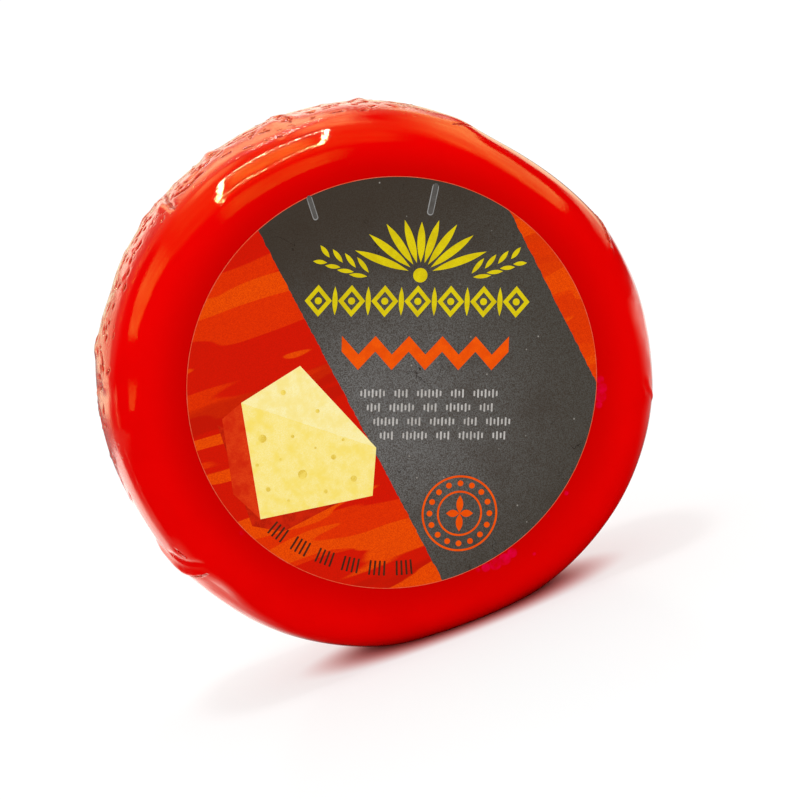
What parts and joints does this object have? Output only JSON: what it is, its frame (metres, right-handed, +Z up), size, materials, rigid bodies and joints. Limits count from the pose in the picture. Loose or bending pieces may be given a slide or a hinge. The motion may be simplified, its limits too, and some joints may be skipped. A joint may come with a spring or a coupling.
{
  "type": "gouda cheese wheel",
  "caption": "Small round cheese in red wax, standing on its edge on a flattened spot, with a round printed paper label on its face.",
  "frame": {"origin": "middle of the base: the flat spot on the rim lies in the plane z = 0 and the bounding box is centred over it", "axes": "+Z up, +Y along the wheel's axis towards its plain back, so that the label faces -Y, +X to the right of the label"},
  "size_m": [0.0978, 0.0308, 0.0947],
  "materials": {
    "red_wax": "smooth glossy red cheese wax, satin and pitted round the rim",
    "printed_paper": "semi-matt coated paper label with printed colour fields"
  },
  "bodies": {
    "root": {"wax_wheel": "red_wax", "face_label": "printed_paper"}
  },
  "joints": []
}
